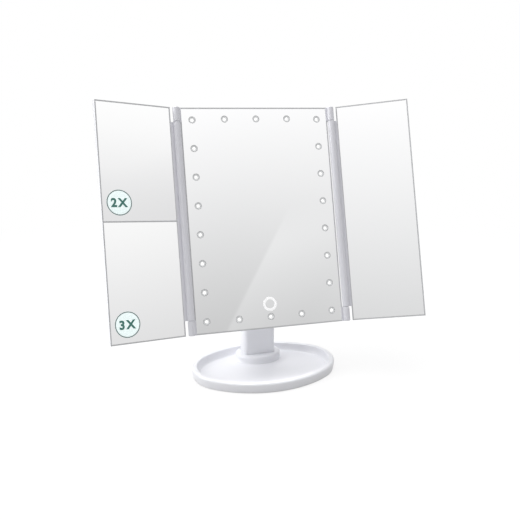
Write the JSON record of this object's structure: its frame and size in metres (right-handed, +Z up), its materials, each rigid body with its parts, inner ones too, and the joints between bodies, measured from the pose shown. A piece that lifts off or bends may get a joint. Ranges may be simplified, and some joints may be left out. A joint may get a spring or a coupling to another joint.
{
  "type": "trifold vanity mirror",
  "caption": "Free-standing trifold vanity mirror: lit centre panel with touch switch, two folding wings, tilting head on a bent neck and an oval tray base.",
  "frame": {"origin": "on the supporting surface, under the middle of the whole mirror as it stands open; the middle of the tray's oval is 3.7 mm behind it", "axes": "+Z up, +X to the viewer's right, -Y towards the person who looks into the mirrors; at rest the head leans back 17.4 degrees and the wings are turned forward 18.2 (left) and 22.3 (right) degrees"},
  "size_m": [0.3377, 0.1191, 0.3036],
  "materials": {
    "white_plastic": "smooth moulded gloss white",
    "mirror": "silvered flat glass",
    "steel": "zinc-plated steel",
    "rubber": "matte soft rubber",
    "nylon": "grey wear-resistant plastic",
    "tape": "white foam tape",
    "light_window": "frosted grey window",
    "led_lens": "clear-white lens",
    "circuit_board": "green laminate",
    "touch_ink": "white printed ring",
    "touch_foam": "conductive foam",
    "wire_cover": "red wire cover",
    "cell_sleeve": "plain blue sleeve",
    "label": "pale mint label"
  },
  "bodies": {
    "stand": {"tray": "white_plastic", "bottom_cover": "white_plastic", "ballast_plate": "steel", "rubber_feet": "rubber", "base_screws": "steel", "neck_front_shell": "white_plastic", "neck_rear_shell": "white_plastic", "neck_screws": "steel", "foot_screws": "steel", "tilt_pin": "steel", "pin_caps": "white_plastic", "friction_washers": "nylon"},
    "head": {"tilt_bracket": "white_plastic", "bracket_screws": "steel", "rear_housing": "white_plastic", "front_frame": "white_plastic", "housing_screws": "steel", "centre_mirror": "mirror", "centre_mirror_tape": "tape", "light_windows": "light_window", "led_heads": "led_lens", "led_boards": "circuit_board", "touch_ring": "touch_ink", "touch_pad": "touch_foam", "control_board": "circuit_board", "board_screws": "steel", "power_inlet": "steel", "lead_wires": "wire_cover", "battery_cells": "cell_sleeve", "battery_contacts": "steel", "left_hinge_pins": "steel", "right_hinge_pins": "steel"},
    "battery_door": {"battery_door": "white_plastic"},
    "left_wing": {"left_wing_frame": "white_plastic", "left_wing_cover": "white_plastic", "upper_magnifying_mirror": "mirror", "lower_magnifying_mirror": "mirror", "left_mirror_tape": "tape", "magnification_labels": "label"},
    "right_wing": {"right_wing_frame": "white_plastic", "right_wing_cover": "white_plastic", "right_mirror": "mirror", "right_mirror_tape": "tape"}
  },
  "joints": [
    {"name": "head_tilt", "type": "hinge", "parent": "stand", "child": "head", "pos_m": [0, 0.02545, 0.1276], "axis": [-1, 0, 0], "range_deg": [-24.4, 42.6]},
    {"name": "left_wing_hinge", "type": "hinge", "parent": "head", "child": "left_wing", "pos_m": [-0.0863, 0.00569, 0.17991], "axis": [0, 0.299, 0.9542], "range_deg": [-18.2, 161.8]},
    {"name": "right_wing_hinge", "type": "hinge", "parent": "head", "child": "right_wing", "pos_m": [0.0863, 0.00569, 0.17991], "axis": [0, -0.299, -0.9542], "range_deg": [-22.3, 157.7]},
    {"name": "battery_door_slide", "type": "slide", "parent": "head", "child": "battery_door", "axis": [0, 0.299, 0.9542], "range_m": [0, 0.008]}
  ]
}
